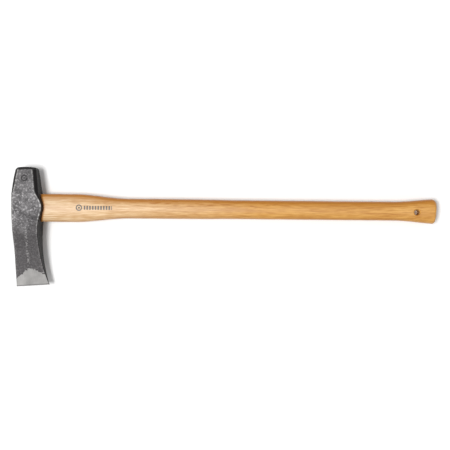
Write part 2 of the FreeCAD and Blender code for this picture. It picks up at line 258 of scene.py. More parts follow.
def filled(rim, columns, rows):
    """The points of a patch whose rim is given in perimeter order, blended in from its four sides."""
    grid = np.zeros((columns + 1, rows + 1, rim.shape[1]))
    for (i, j), place in zip(perimeter(columns, rows), rim):
        grid[i, j] = place
    u = np.linspace(0.0, 1.0, columns + 1)[:, None, None]
    v = np.linspace(0.0, 1.0, rows + 1)[None, :, None]
    across = (1 - u) * grid[:1] + u * grid[-1:]
    along = (1 - v) * grid[:, :1] + v * grid[:, -1:]
    corners = (1 - u) * ((1 - v) * grid[0, 0] + v * grid[0, -1])
    corners = corners + u * ((1 - v) * grid[-1, 0] + v * grid[-1, -1])
    return across + along - corners


def tube(rings, columns, rows):
    """Points and faces of a closed tube. The first and last ring are capped with patches."""
    around = len(rings[0])
    points = [np.concatenate(rings)]
    faces = []
    for k in range(len(rings) - 1):
        for n in range(around):
            m = (n + 1) % around
            faces.append((k * around + n, k * around + m, (k + 1) * around + m, (k + 1) * around + n))
    used = len(points[0])
    order = perimeter(columns, rows)
    for ring, start, flip in ((rings[0], 0, False), (rings[-1], (len(rings) - 1) * around, True)):
        patch = filled(ring, columns, rows)
        index = np.zeros((columns + 1, rows + 1), int)
        for n, (i, j) in enumerate(order):
            index[i, j] = start + n
        inside = [(i, j) for i in range(1, columns) for j in range(1, rows)]
        for i, j in inside:
            index[i, j] = used
            used += 1
        points.append(np.array([patch[i, j] for i, j in inside]))
        for i in range(columns):
            for j in range(rows):
                face = (index[i, j], index[i, j + 1], index[i + 1, j + 1], index[i + 1, j])
                faces.append(face[::-1] if flip else face)
    return np.concatenate(points), faces


def new_mesh(name, points, faces):
    mesh = bpy.data.meshes.new(name)
    mesh.from_pydata([tuple(map(float, p)) for p in points], [], [tuple(map(int, f)) for f in faces])
    mesh.validate()
    return mesh


def new_object(name, data):
    made = bpy.data.objects.new(name, data)
    bpy.context.scene.collection.objects.link(made)
    return made


def places(mesh):
    found = np.empty(len(mesh.vertices) * 3, np.float64)
    mesh.vertices.foreach_get("co", found)
    return found.reshape(-1, 3)


def set_places(mesh, points):
    mesh.vertices.foreach_set("co", points.astype(np.float32).ravel())
    mesh.update()


def write_values(mesh, name, values):
    if name in mesh.attributes:
        mesh.attributes.remove(mesh.attributes[name])
    mesh.attributes.new(name, "FLOAT", "POINT").data.foreach_set("value", values.astype(np.float32))


def read_values(mesh, name):
    found = np.empty(len(mesh.vertices), np.float32)
    mesh.attributes[name].data.foreach_get("value", found)
    return found


def settle(piece):
    """Applies a piece's modifiers, so that it is a plain mesh."""
    graph = bpy.context.evaluated_depsgraph_get()
    evaluated = piece.evaluated_get(graph)
    mesh = bpy.data.meshes.new_from_object(evaluated, preserve_all_data_layers=True, depsgraph=graph)
    piece.modifiers.clear()
    old = piece.data
    piece.data = mesh
    bpy.data.meshes.remove(old)
    return mesh


def carve(piece, tool_mesh):
    """Cuts a piece with a closed mesh, and keeps the values on its points."""
    before = places(piece.data)
    kept = {
        a.name: read_values(piece.data, a.name)
        for a in piece.data.attributes
        if a.domain == "POINT" and a.data_type == "FLOAT"
    }
    tool = new_object("cutting_tool", tool_mesh)
    modifier = piece.modifiers.new("Cut", "BOOLEAN")
    modifier.operation = "DIFFERENCE"
    modifier.solver = "EXACT"
    modifier.object = tool
    bpy.context.view_layer.update()
    mesh = settle(piece)
    bpy.data.objects.remove(tool)
    bpy.data.meshes.remove(tool_mesh)
    if kept:
        tree = KDTree(len(before))
        for n, place in enumerate(before):
            tree.insert(place, n)
        tree.balance()
        nearest = np.array([tree.find(v.co)[1] for v in mesh.vertices])
        for name, values in kept.items():
            write_values(mesh, name, values[nearest])
    return mesh


def shade(mesh, angle):
    """Smooth shading that breaks at edges sharper than the angle."""
    mesh.polygons.foreach_set("use_smooth", np.ones(len(mesh.polygons), bool))
    mesh.set_sharp_from_angle(angle=math.radians(angle))


def finish_piece(piece, node, material):
    piece.data.materials.clear()
    piece.data.materials.append(material)
    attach(piece, BODY)
    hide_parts(node)


class Value:
    """A number in a node tree. Plain arithmetic on it adds the nodes that work it out."""

    def __init__(self, graph, socket):
        self.graph = graph
        self.socket = socket

    def __add__(self, other):
        return self.graph.math("ADD", self, other)

    def __sub__(self, other):
        return self.graph.math("SUBTRACT", self, other)

    def __rsub__(self, other):
        return self.graph.math("SUBTRACT", other, self)

    def __mul__(self, other):
        return self.graph.math("MULTIPLY", self, other)

    def __truediv__(self, other):
        return self.graph.math("DIVIDE", self, other)

    def __rtruediv__(self, other):
        return self.graph.math("DIVIDE", other, self)

    def __pow__(self, other):
        return self.graph.math("POWER", self, other)

    def __abs__(self):
        return self.graph.math("ABSOLUTE", self)

    __radd__ = __add__
    __rmul__ = __mul__


class Graph:
    """A node tree that is being built."""

    def __init__(self, tree):
        self.tree = tree

    def node(self, kind, inputs=None, **options):
        made = self.tree.nodes.new(kind)
        for key, value in options.items():
            setattr(made, key, value)
        for key, value in (inputs or {}).items():
            self.feed(made.inputs[key], value)
        return made

    def feed(self, socket, value):
        value = value.socket if isinstance(value, Value) else value
        if isinstance(value, bpy.types.NodeSocket):
            self.tree.links.new(value, socket)
        else:
            socket.default_value = value

    def value(self, kind, output=0, **options):
        return Value(self, self.node(kind, **options).outputs[output])

    def math(self, operation, *values):
        made = self.node("ShaderNodeMath", dict(enumerate(values)), operation=operation)
        return Value(self, made.outputs[0])

    def most(self, a, b):
        return self.math("MAXIMUM", a, b)

    def least(self, a, b):
        return self.math("MINIMUM", a, b)

    def distance(self, x, y):
        return self.math("SQRT", x * x + y * y)

    def combine(self, x, y, z):
        return self.node("ShaderNodeCombineXYZ", {"X": x, "Y": y, "Z": z}).outputs[0]

    def split(self, vector):
        return [Value(self, part) for part in self.node("ShaderNodeSeparateXYZ", {0: vector}).outputs]

    def step(self, value, low, high, start=0.0, end=1.0, kind="SMOOTHSTEP"):
        """Maps a value from one range to another, with no overshoot."""
        inputs = {"Value": value, "From Min": low, "From Max": high, "To Min": start, "To Max": end}
        return Value(self, self.node("ShaderNodeMapRange", inputs, interpolation_type=kind).outputs[0])

    def noise(self, vector, scale, detail=2.0, roughness=0.5):
        inputs = {"Vector": vector, "Scale": scale, "Detail": detail, "Roughness": roughness}
        return Value(self, self.node("ShaderNodeTexNoise", inputs).outputs[0])

    def grain(self, vector, scales, detail=2.0, roughness=0.5):
        """Noise that is drawn out along the axes."""
        drawn = self.node("ShaderNodeMapping", {"Vector": vector, "Scale": scales}).outputs[0]
        return self.noise(drawn, 1.0, detail, roughness)

    def mix(self, factor, a, b, blend="MIX"):
        made = self.node("ShaderNodeMix", data_type="RGBA", blend_type=blend)
        self.feed(made.inputs[0], factor)
        for socket, tone in ((made.inputs[6], a), (made.inputs[7], b)):
            self.feed(socket, tone if isinstance(tone, bpy.types.NodeSocket) else (*tone, 1.0))
        return made.outputs[2]

    def tinted(self, tone, value):
        """A colour made lighter or darker by a value."""
        return self.mix(1.0, tone, self.combine(value, value, value), "MULTIPLY")

    def bump(self, shader, height, strength, distance):
        made = self.node("ShaderNodeBump", {"Height": height, "Strength": strength, "Distance": distance})
        self.feed(shader.inputs["Normal"], made.outputs[0])


def geometry_tree(name, values):
    """A geometry node tree whose inputs are a mesh, the named numbers and a material."""
    tree = bpy.data.node_groups.new(name, "GeometryNodeTree")
    face = tree.interface
    face.new_socket("geometry", in_out="INPUT", socket_type="NodeSocketGeometry")
    face.new_socket("geometry", in_out="OUTPUT", socket_type="NodeSocketGeometry")
    for key, value in values.items():
        kind = "NodeSocketFloat" if isinstance(value, float) else "NodeSocketMaterial"
        face.new_socket(key, in_out="INPUT", socket_type=kind)
    graph = Graph(tree)
    sockets = graph.node("NodeGroupInput").outputs
    return graph, SimpleNamespace(**{socket.name: Value(graph, socket) for socket in sockets})


def end_tree(graph, geometry, material):
    realized = graph.node("GeometryNodeRealizeInstances", {"Geometry": geometry}).outputs[0]
    dressed = graph.node("GeometryNodeSetMaterial", {"Geometry": realized, "Material": material})
    graph.node("NodeGroupOutput", {"geometry": dressed.outputs[0]})


def run_tree(piece, graph, values):
    """Runs a geometry node tree on a piece and keeps the result as its plain mesh."""
    modifier = piece.modifiers.new(graph.tree.name, "NODES")
    modifier.node_group = graph.tree
    for item in graph.tree.interface.items_tree:
        if item.in_out == "INPUT" and item.name in values:
            modifier[item.identifier] = values[item.name]
    bpy.context.view_layer.update()
    return settle(piece)


# The forged head

def outer_depth(y):
    """Set-back of the head's outer side at a height y."""
    s = settings().head
    above = s.poll_outer_depth * ((y - s.crown_y) / (s.poll_side_y - s.crown_y)) ** 2
    below = s.outer_blade_depth * ((s.crown_y - y) / (s.crown_y - s.outer_blade_y)) ** 2
    share = (s.outer_blade_y - y) / (s.outer_blade_y - HEAD_LOW.y)
    straight = s.outer_blade_depth + (s.toe_depth - s.outer_blade_depth) * share
    return np.where(y > s.crown_y, above, soft_min(below, straight + 0.0 * y, 2.0 * MM))


def inner_depth(y):
    """Depth of the side that faces the handle at a height y."""
    s = settings().head
    fall = (s.boss_top_depth - s.poll_inner_depth) / (s.boss_top_y - s.poll_side_y)
    poll = s.poll_inner_depth + fall * (y - s.poll_side_y)
    boss = curve_through(
        [
            (s.boss_top_y, s.boss_top_depth),
            (HANDLE_Y + s.boss_reach, s.boss_flank_depth),
            (HANDLE_Y, s.boss_depth),
            (HANDLE_Y - s.boss_reach, s.boss_flank_depth),
            (s.boss_foot_y, s.neck_depth),
        ],
        0.0, fall, y,
    )
    heel_y = HEAD_LOW.y + s.heel_rise
    t = np.clip((s.neck_y - y) / (s.neck_y - heel_y), 0.0, 1.1)
    flare = s.neck_depth + (s.heel_depth - s.neck_depth) * t - 4.0 * s.flare_sag * t * (1.0 - t)
    return np.where(y > s.boss_top_y, poll, np.where(y > s.neck_y, boss, flare))


def forged_half(depth, y):
    """Half of the head's thickness before the bevel is ground."""
    s = settings().head
    tilt = s.heel_rise / (s.heel_depth - s.toe_depth)
    height = y - HEAD_LOW.y - tilt * (depth - s.toe_depth)
    ridge_half = s.edge_half + s.bevel_rise * s.bevel_top + s.ridge_rise * (height - s.bevel_top)
    ridge_at = s.ridge_depth - s.ridge_lean * (height - s.bevel_top)
    toe_side = ridge_half - s.toe_fall * (ridge_at - depth)
    heel_side = ridge_half - s.heel_fall * (depth - ridge_at)
    blade = soft_min(toe_side, heel_side, 0.25 * MM)
    eye_half = (HEAD_HIGH.z - HEAD_LOW.z) / 2.0
    taper = (eye_half - s.poll_half) / (s.poll_side_y - s.poll_taper_y)
    poll = eye_half - taper * (y - s.poll_taper_y)
    return soft_min(soft_min(blade, eye_half + 0.0 * y, 2.2 * MM), poll, 1.2 * MM)


CHEEK_STEPS, WALL_STEPS, CORNER_STEPS = 42, 38, 5
HEAD_COLUMNS = CHEEK_STEPS + 2 * CORNER_STEPS
HEAD_ROWS = WALL_STEPS + 2 * CORNER_STEPS


def corner_line(chamfer, rounding):
    """Half of a corner: its offsets from the wall and from the cheek, from the cheek to its middle."""
    diagonal = rounding / math.sqrt(2.0)
    t = np.linspace(0.0, 1.0, 4)
    bend = [(chamfer + rounding * (1 - a) ** 2 - diagonal * a * a, diagonal * a * a) for a in t]
    share = (chamfer / 2.0 - diagonal) / 2.0
    bend.append((chamfer - diagonal - share, diagonal + share))
    bend.append((chamfer / 2.0, chamfer / 2.0))
    return np.array(bend)


def head_ring(height, inset_wall, inset_cheek):
    """One ring of the head's blank, in perimeter order.

    A point holds x, y, its height over the middle, half thickness, wall, worn and chamfer.
    """
    s = settings().head
    y_mid = HEAD_LOW.y + height
    rise_share = s.heel_rise * (1.0 - height / HEAD_LENGTH)
    crown_share = s.poll_crown * float(smoothstep(height, HEAD_LENGTH - 30.0 * MM, HEAD_LENGTH))

    def rise(depth):
        across = (depth - s.toe_depth) / (s.heel_depth - s.toe_depth)
        middle = (s.poll_outer_depth + s.poll_inner_depth) / 2.0
        crown = ((depth - middle) / (s.poll_inner_depth - middle)) ** 2
        return rise_share * across - crown_share * crown

    outer = float(outer_depth(np.array(y_mid)))
    inner = float(inner_depth(np.array(y_mid + rise_share)))
    outer_y = y_mid + rise(outer)
    inner_y = y_mid + rise(inner)
    outer_half = float(forged_half(outer, outer_y))
    inner_half = float(forged_half(inner, inner_y))
    long_in = float(smoothstep(y_mid, HANDLE_Y + 6.0 * MM, s.boss_top_y + 3.0 * MM))
    long_out = float(smoothstep(y_mid, HANDLE_Y + 14.0 * MM, s.boss_top_y + 17.0 * MM))
    chamfer_in = s.corner_chamfer + (s.poll_inner_chamfer - s.corner_chamfer) * long_in
    chamfer_out = s.corner_chamfer + (s.poll_outer_chamfer - s.corner_chamfer) * long_out
    chamfer_in = min(chamfer_in, 0.3 * inner_half)
    chamfer_out = min(chamfer_out, 0.3 * outer_half)
    corner_in = corner_line(chamfer_in, min(s.corner_round, 0.65 * chamfer_in))
    corner_out = corner_line(chamfer_out, min(s.corner_round, 0.65 * chamfer_out))
    draft = s.blade_draft * float(smoothstep(np.array(-y_mid), 0.0, 30.0 * MM))
    wall_in = inner - inset_wall
    wall_out = outer + inset_wall
    start, end = wall_out + corner_out[0, 0], wall_in - corner_in[0, 0]
    flat = np.linspace(start, end, CHEEK_STEPS + 1)[1:-1]
    depth = np.concatenate([wall_out + corner_out[::-1, 0], flat, wall_in - corner_in[:, 0]])
    drop = np.concatenate([corner_out[::-1, 1], 0.0 * flat, corner_in[:, 1]])
    half = forged_half(depth, y_mid + rise(depth))
    up = np.maximum(half - drop - inset_cheek, 0.2 * MM)
    near = np.minimum(depth - start, end - depth)
    # The band by the chamfers that gets corner wear and a painted rim highlight.
    wear_and_highlight = (1.0 - smoothstep(near, 0.0, 2.4 * MM)) * (1.0 - smoothstep(drop, 0.0, 0.5 * MM))
    chamfered = smoothstep(drop, 0.1 * MM, 0.8 * MM)
    if inset_cheek > 0.0:
        chamfered, wear_and_highlight = 0.0 * chamfered + 1.0, 0.0 * wear_and_highlight

    def columns(depths, *others):
        values = np.broadcast_arrays(OUTER_X + depths, y_mid + rise(depths), *others)
        return np.stack(values, axis=1)

    cheek = columns(depth, up, half, chamfered, wear_and_highlight, chamfered)

    def wall(depth_at, half_at, lean, corner_points):
        reach = half_at - inset_cheek
        t = np.linspace(1.0, -1.0, WALL_STEPS + 1)[1:-1]
        span = reach - corner_points[0, 0]
        h = span * (0.8 * t + 0.2 * t ** 3)
        flash = 0.3 * MM * np.exp(-((h / (0.9 * MM)) ** 2)) * (draft > 0.0)
        d = depth_at + lean * draft * (half_at - np.abs(h)) + lean * flash
        return columns(d, h, half_at, 1.0, 0.0, 0.0)

    def corner_wall(depth_at, half_at, sign, corner):
        """The half of a corner that lies against the wall, from the corner's middle to the wall."""
        line = corner[::-1][1:]
        d = depth_at - sign * line[:, 1]
        h = half_at - inset_cheek - line[:, 0]
        return columns(d, h, half_at, 1.0, 0.0, 1.0)

    half_in = float(forged_half(wall_in, y_mid + rise(wall_in)))
    half_out = float(forged_half(wall_out, y_mid + rise(wall_out)))
    under = np.array([1.0, 1.0, -1.0, 1.0, 1.0, 1.0, 1.0])
    right_corner = corner_wall(wall_in, half_in, 1.0, corner_in)
    left_corner = corner_wall(wall_out, half_out, -1.0, corner_out)
    right = [right_corner, wall(wall_in, half_in, 1.0, corner_in), (right_corner * under)[::-1]]
    left = [left_corner * under, wall(wall_out, half_out, -0.6, corner_out)[::-1], left_corner[::-1]]
    return np.concatenate([cheek, *right, (cheek * under)[::-1], *left])


def head_blank():
    """The head's closed blank, with its forged half thickness and zones stored on its points."""
    s = settings().head
    end = HEAD_LENGTH - (HEAD_HIGH.y - s.poll_side_y)
    heights = list(np.linspace(0.0, end, 206))
    rings = [head_ring(h, 0.0, 0.0) for h in heights]
    turn = HEAD_LENGTH - end
    for angle in np.linspace(0.0, math.pi / 2.0, 9)[1:]:
        inset = 0.7 * turn * (1.0 - math.cos(angle))
        rings.append(head_ring(end + turn * math.sin(angle), inset, turn * math.sin(angle) * 0.95))
    points, faces = tube(rings, HEAD_COLUMNS, HEAD_ROWS)
    points[:, 2] += MID_Z
    mesh = new_mesh("forged_head", points[:, :3], faces)
    for name, column in (("half", 3), ("scale", 4), ("wear_and_highlight", 5), ("chamfer", 6)):
        write_values(mesh, name, points[:, column])
    return mesh


def forge_tree(values):
    """Dents and pits the blank's skin, punches its mark and grinds its bevel."""
    graph, given = geometry_tree("Forge and grind", values)
    x, y, z = graph.split(graph.node("GeometryNodeInputPosition").outputs[0])
    place = graph.combine(x + given.seed, y + given.seed, z + given.seed)

    def stored(name):
        made = graph.node("GeometryNodeInputNamedAttribute", {"Name": name}, data_type="FLOAT")
        return Value(graph, made.outputs[0])

    def rough(size, detail, depth):
        return (graph.noise(place, 1.0 / size, detail, 0.55) - 0.5) * depth * 3.0

    half, wall = stored("half"), stored("scale")
    skin = rough(given.hammer_size, 1.5, given.hammer_depth) + rough(given.scale_size, 3.0, given.scale_depth)

    away = graph.distance(x - given.punch_x, y - given.punch_y)
    ring = graph.step(abs(away - given.punch_radius), 0.2 * MM, 1.4 * MM, 1.0, 0.0)
    dot = graph.step(away, 0.4 * MM, 1.7 * MM, 1.0, 0.0)
    punch = graph.most(ring, dot) * graph.math("GREATER_THAN", z, given.middle_z)

    rough_half = half + skin - punch * given.punch_depth
    above_edge = y - given.edge_y - (x - given.toe_x) * given.edge_tilt
    limit = given.edge_half + graph.most(above_edge, 0.0) * given.bevel_rise
    new_half = graph.least(graph.least(rough_half, limit), given.middle_z)
    new_x = graph.most(x + skin * wall, given.outer_x)
    new_y = graph.most(y, given.edge_y)
    new_z = given.middle_z + (z - given.middle_z) * (new_half / half)
    inputs = {"Geometry": given.geometry, "Position": graph.combine(new_x, new_y, new_z)}
    forged = graph.node("GeometryNodeSetPosition", inputs).outputs[0]
    ground = graph.step(rough_half - limit, -0.26 * MM, 0.26 * MM, kind="LINEAR")
    for name, value in (("ground", ground), ("punch", punch)):
        inputs = {"Geometry": forged, "Name": name, "Value": value}
        made = graph.node("GeometryNodeStoreNamedAttribute", inputs, data_type="FLOAT", domain="POINT")
        forged = made.outputs[0]
    end_tree(graph, forged, given.material)
    return graph


def section(width, thickness, power, angles):
    """The points of a squarish oval, once round."""
    c, s = np.cos(angles), np.sin(angles)
    y = np.sign(c) * np.abs(c) ** (2.0 / power) * width / 2.0
    z = np.sign(s) * np.abs(s) ** (2.0 / power) * thickness / 2.0
    return np.stack([y, z], axis=-1)


OVAL_COLUMNS, OVAL_ROWS = 34, 18


def oval_angles(power):
    """Angles that space an oval's points evenly, once round from its upper left corner."""
    count_round = 2 * (OVAL_COLUMNS + OVAL_ROWS)
    fine = np.linspace(0.0, 2.0 * math.pi, 7201)
    shape = section(1.6, 1.0, power, fine)
    walked = np.concatenate([[0.0], np.cumsum(np.linalg.norm(np.diff(shape, axis=0), axis=1))])
    walked /= walked[-1]
    share = 0.25 + (OVAL_COLUMNS / 2.0) / count_round - np.arange(count_round) / count_round
    return np.interp(share % 1.0, walked, fine)


def eye_half_size(x):
    """Half of the eye's height and thickness at a place along the handle."""
    s = settings().eye
    depth = (x - OUTER_X) / settings().head.boss_depth
    width = s.outer_width + (s.inner_width - s.outer_width) * depth
    thickness = s.outer_thickness + (s.inner_thickness - s.outer_thickness) * depth
    return width / 2.0, thickness / 2.0


def eye_section(x, gap, angles, power):
    """The eye's section at a place along the handle, in the handle's own centre."""
    half_height, half_thickness = eye_half_size(x)
    return section(2.0 * (half_height - gap), 2.0 * (half_thickness - gap), power, angles)


def eye_tool():
    """The closed solid that the eye is cut with."""
    power = settings().handle.section_power
    angles = oval_angles(power)
    over = 6.0 * MM
    rings = []
    for x in np.linspace(OUTER_X - over, OUTER_X + settings().head.boss_depth + over, 24):
        flat = eye_section(x, 0.0, angles, power)
        ring = np.column_stack([np.full(len(flat), x), flat[:, 0] + HANDLE_Y, flat[:, 1] + MID_Z])
        rings.append(ring)
    points, faces = tube(rings, OVAL_COLUMNS, OVAL_ROWS)
    return new_mesh("eye_tool", points, [f[::-1] for f in faces])


class MAUL_OT_head(bpy.types.Operator):
    """Forges the head, punches its mark, grinds its bevel and cuts its eye"""

    bl_idname = "maul.head"
    bl_label = "Forged head"

    def execute(self, context):
        s = settings().head
        head = new_object("forged_head", head_blank())
        values = picked(
            s, "hammer_depth", "scale_depth", "edge_half", "bevel_rise", "punch_radius", "punch_depth"
        )
        values.update(
            hammer_size=14.0 * MM,
            scale_size=3.6 * MM,
            edge_y=HEAD_LOW.y,
            edge_tilt=s.heel_rise / (s.heel_depth - s.toe_depth),
            toe_x=OUTER_X + s.toe_depth,
            outer_x=OUTER_X,
            middle_z=MID_Z,
            punch_x=OUTER_X + 23.3 * MM,
            punch_y=HEAD_HIGH.y - 21.0 * MM,
            seed=float(s.seed),
            material=steel_material(),
        )
        run_tree(head, forge_tree(values), values)
        mesh = carve(head, eye_tool())
        shade(mesh, 38.0)
        finish_piece(head, "maul_head", steel_material())
        return {"FINISHED"}


# The handle

def profile_tree(values):
    """Gives a unit tube the handle's heights and thicknesses, and the long waves of sanding."""
    graph, given = geometry_tree("Handle profile", values)
    x, y, z = graph.split(graph.node("GeometryNodeInputPosition").outputs[0])

    taper = graph.step(x, given.shoulder_end_x, given.neck_x)
    slim = graph.step(x, given.grip_start_x, given.grip_full_x)
    share = graph.step(x, given.knob_start_x, given.handle_end_x, kind="LINEAR")
    flare = share * share * (given.knob_fullness + 1.0 - given.knob_fullness * share)
    width = given.shoulder_width + (given.neck_width - given.shoulder_width) * taper
    width += (given.grip_width - given.neck_width) * slim
    width += (given.knob_width - given.grip_width) * flare
    thin = graph.step(x, given.shoulder_end_x, given.grip_full_x)
    swell = graph.step(x, given.knob_start_x, given.handle_end_x)
    thickness = given.shoulder_thickness + (given.grip_thickness - given.shoulder_thickness) * thin
    thickness += (given.knob_thickness - given.grip_thickness) * swell

    across = 0.02 / given.sanding_size
    place = graph.combine(x / given.sanding_size + given.seed, y * across, z * across)
    wave = (graph.noise(place, 1.0) - 0.5) * (given.sanding_depth * -4.0) - given.sanding_depth
    new_y = y * (width * 0.5 + wave) + given.handle_y
    new_z = z * (thickness * 0.5 + wave) + given.middle_z
    inputs = {"Geometry": given.geometry, "Position": graph.combine(x, new_y, new_z)}
    end_tree(graph, graph.node("GeometryNodeSetPosition", inputs).outputs[0], given.material)
    return graph


TONGUE_RINGS, JOINT_RINGS, END_RINGS = 20, 6, 11
SHAFT_SPACING = 2.6 * MM


def end_round(unit):
    """The rounding radius of the knob's end for each point of a unit ring."""
    s = settings().handle
    up = np.clip(unit[:, 0], 0.0, 1.0) ** 2
    down = np.clip(-unit[:, 0], 0.0, 1.0) ** 2
    return (
        s.knob_side_round
        + (s.knob_upper_round - s.knob_side_round) * up
        + (s.knob_lower_round - s.knob_side_round) * down
    )


def handle_blank():
    """A closed unit tube with a ring at every place where the handle needs one."""
    s = settings().handle
    angles = oval_angles(s.section_power)
    unit = section(2.0, 2.0, s.section_power, angles)
    wall_y = HANDLE_Y + unit[:, 0] * s.shoulder_width / 2.0
    joint_x = OUTER_X + inner_depth(wall_y)
    start_x = OUTER_X + outer_depth(wall_y)
    clear_x = OUTER_X + settings().head.boss_depth + 8.0 * MM
    face_x = HANDLE_END - s.knob_slant * (0.5 - unit[:, 0] / 2.0)
    turn_x = face_x - end_round(unit)
    settle_x = HANDLE_END - 24.0 * MM

    stations = [start_x + (joint_x - start_x) * t for t in np.linspace(0.0, 1.0, TONGUE_RINGS)]
    stations.append(joint_x)
    stations += [joint_x + (clear_x - joint_x) * t for t in np.linspace(0.0, 1.0, JOINT_RINGS)[1:]]
    shaft_count = int((settle_x - clear_x) / SHAFT_SPACING)
    stations += [np.full(len(unit), x) for x in np.linspace(clear_x, settle_x, shaft_count)[1:]]
    stations += [settle_x + (turn_x - settle_x) * t for t in np.linspace(0.0, 1.0, 9)[1:]]
    for angle in np.linspace(0.0, math.pi / 2.0, END_RINGS)[1:]:
        stations.append(turn_x + (face_x - turn_x) * math.sin(angle))
    rings = [np.column_stack([x, unit, x - joint_x]) for x in stations]
    points, faces = tube(rings, OVAL_COLUMNS, OVAL_ROWS)
    mesh = new_mesh("handle", points[:, :3], [f[::-1] for f in faces])
    write_values(mesh, "reach", points[:, 3])
    return mesh, len(stations)


def fit_tongue(points, around):
    """Draws the tongue's rings in to the eye's own section."""
    s = settings()
    power = s.handle.section_power
    angles = oval_angles(power)
    for ring in range(TONGUE_RINGS):
        span = slice(ring * around, (ring + 1) * around)
        for index in range(span.start, span.stop):
            flat = eye_section(points[index, 0], s.eye.fit_gap, angles[index - span.start], power)
            points[index, 1] = HANDLE_Y + flat[0]
            points[index, 2] = MID_Z + flat[1]


class MAUL_OT_handle(bpy.types.Operator):
    """Turns the handle, fits its tongue to the eye and drills its hanging hole"""

    bl_idname = "maul.handle"
    bl_label = "Handle"

    def execute(self, context):
        s = settings().handle
        mesh, ring_count = handle_blank()
        handle = new_object("turned_handle", mesh)
        values = picked(
            s, "shoulder_width", "neck_width", "grip_width", "knob_width", "shoulder_thickness",
            "grip_thickness", "knob_thickness", "shoulder_end_x", "neck_x", "grip_start_x", "grip_full_x",
            "knob_start_x", "knob_fullness", "sanding_depth",
        )
        values.update(
            handle_end_x=HANDLE_END,
            handle_y=HANDLE_Y,
            middle_z=MID_Z,
            sanding_size=45.0 * MM,
            seed=3.0,
            material=wood_material(),
        )
        mesh = run_tree(handle, profile_tree(values), values)
        shape_ends(mesh, ring_count)
        carve(handle, wedge_mesh(-settings().eye.fit_gap))
        carve(handle, ring_mesh(settings().eye.fit_gap))
        mesh = carve(handle, hole_tool())
        shade(mesh, 35.0)
        finish_piece(handle, "handle", wood_material())
        return {"FINISHED"}


def shape_ends(mesh, ring_count):
    """Fits the tongue and rounds the knob, then lays both caps into their rings again."""
    s = settings()
    around = 2 * (OVAL_COLUMNS + OVAL_ROWS)
    points = places(mesh)
    unit = section(2.0, 2.0, s.handle.section_power, oval_angles(s.handle.section_power))
    radius = end_round(unit)
    fit_tongue(points, around)
    first = points[:around]
    first[:, 0] = OUTER_X + outer_depth(first[:, 1]) + s.eye.tongue_sink
    centre = np.array([HANDLE_Y, MID_Z])
    turns = np.linspace(0.0, math.pi / 2.0, END_RINGS)[1:]
    for k, angle in enumerate(turns):
        start = (ring_count - len(turns) + k) * around
        ring = points[start:start + around]
        spoke = ring[:, 1:] - centre
        reach = np.linalg.norm(spoke, axis=1)
        ring[:, 1:] = centre + spoke * (1.0 - radius * (1.0 - math.cos(angle)) / reach)[:, None]
    inside = [(i, j) for i in range(1, OVAL_COLUMNS) for j in range(1, OVAL_ROWS)]
    used = ring_count * around
    for start in (0, (ring_count - 1) * around):
        patch = filled(points[start:start + around].copy(), OVAL_COLUMNS, OVAL_ROWS)
        flat = np.array([patch[i, j] for i, j in inside])
        if start == 0:
            flat[:, 0] = OUTER_X + outer_depth(flat[:, 1]) + s.eye.tongue_sink
        points[used:used + len(flat)] = flat
        used += len(flat)
    set_places(mesh, points)


def lathe(profile, centre, axis, steps):
    """A closed ring or plug turned about an axis. The profile holds (along, radius) points."""
    side, up = {"X": ((0, 1, 0), (0, 0, 1)), "Z": ((1, 0, 0), (0, 1, 0))}[axis]
    along = np.cross(side, up)
    points = []
    for k in range(steps):
        angle = 2.0 * math.pi * k / steps
        spoke = np.array(side) * math.cos(angle) + np.array(up) * math.sin(angle)
        points += [np.array(centre) + along * a + spoke * r for a, r in profile]
    n = len(profile)
    faces = []
    for k in range(steps):
        m = (k + 1) % steps
        for i in range(n):
            j = (i + 1) % n
            faces.append((k * n + i, m * n + i, m * n + j, k * n + j))
    return np.array(points), faces


def hole_tool():
    """The drill and its two countersinks, as one closed solid."""
    s = settings().handle
    half = s.knob_thickness / 2.0
    swell_at_hole = 1.1 * MM
    mouth = s.grip_thickness / 2.0 + swell_at_hole
    spread = (s.sink_radius - s.hole_radius) / s.sink_depth
    over = half + 4.0 * MM
    wide = s.hole_radius + spread * (over - mouth + s.sink_depth)
    inner = mouth - s.sink_depth
    profile = [(-over, wide), (-inner, s.hole_radius), (inner, s.hole_radius), (over, wide)]
    steps = 48
    points, faces = lathe(profile, (s.hole_x, HANDLE_Y - s.hole_drop, MID_Z), "Z", steps)
    n = len(profile)
    faces = [f for k, f in enumerate(faces) if k % n != n - 1]
    faces.append([k * n for k in range(steps)])
    faces.append([k * n + n - 1 for k in range(steps)][::-1])
    return new_mesh("hole_tool", points, [f[::-1] for f in faces])


# The two wedges

def wedge_mesh(gap):
    """The wooden wedge, shrunk by a gap. A negative gap makes the tool that cuts its slot."""
    s = settings().eye
    power = settings().handle.section_power
    tip = WEDGE_TIP - gap
    top_over = 4.0 * MM if gap < 0.0 else 0.0
    columns, rows, layers = 40, 16, 4
    rings = []
    for t in np.linspace(0.0, 1.0, rows + 1):
        ring = []
        for i, j in perimeter(columns, layers):
            v = 2.0 * i / columns - 1.0
            w = 2.0 * j / layers - 1.0
            half_width = (s.outer_width + (s.inner_width - s.outer_width) * 0.35 * t) / 2.0 - gap
            start = OUTER_X + float(outer_depth(np.array(HANDLE_Y + v * half_width))) - top_over
            start += 0.1 * MM if gap >= 0.0 else 0.0
            x = start + (tip - start) * t
            depth = max(x - OUTER_X, -top_over)
            thick = s.wedge_thick + (s.wedge_thin - s.wedge_thick) * depth / (WEDGE_TIP - OUTER_X)
            thick = thick - 2.0 * gap
            eye_y, eye_z = eye_half_size(x)
            z = w * thick / 2.0
            edge = (1.0 - min(abs(z) / eye_z, 0.99) ** power) ** (1.0 / power)
            y = v * (eye_y * edge - gap if gap >= 0.0 else eye_y + 2.0 * MM)
            ring.append((x, HANDLE_Y + y, MID_Z + z))
        rings.append(np.array(ring))
    points, faces = tube(rings, columns, layers)
    return new_mesh("wooden_wedge", points, [f[::-1] for f in faces])


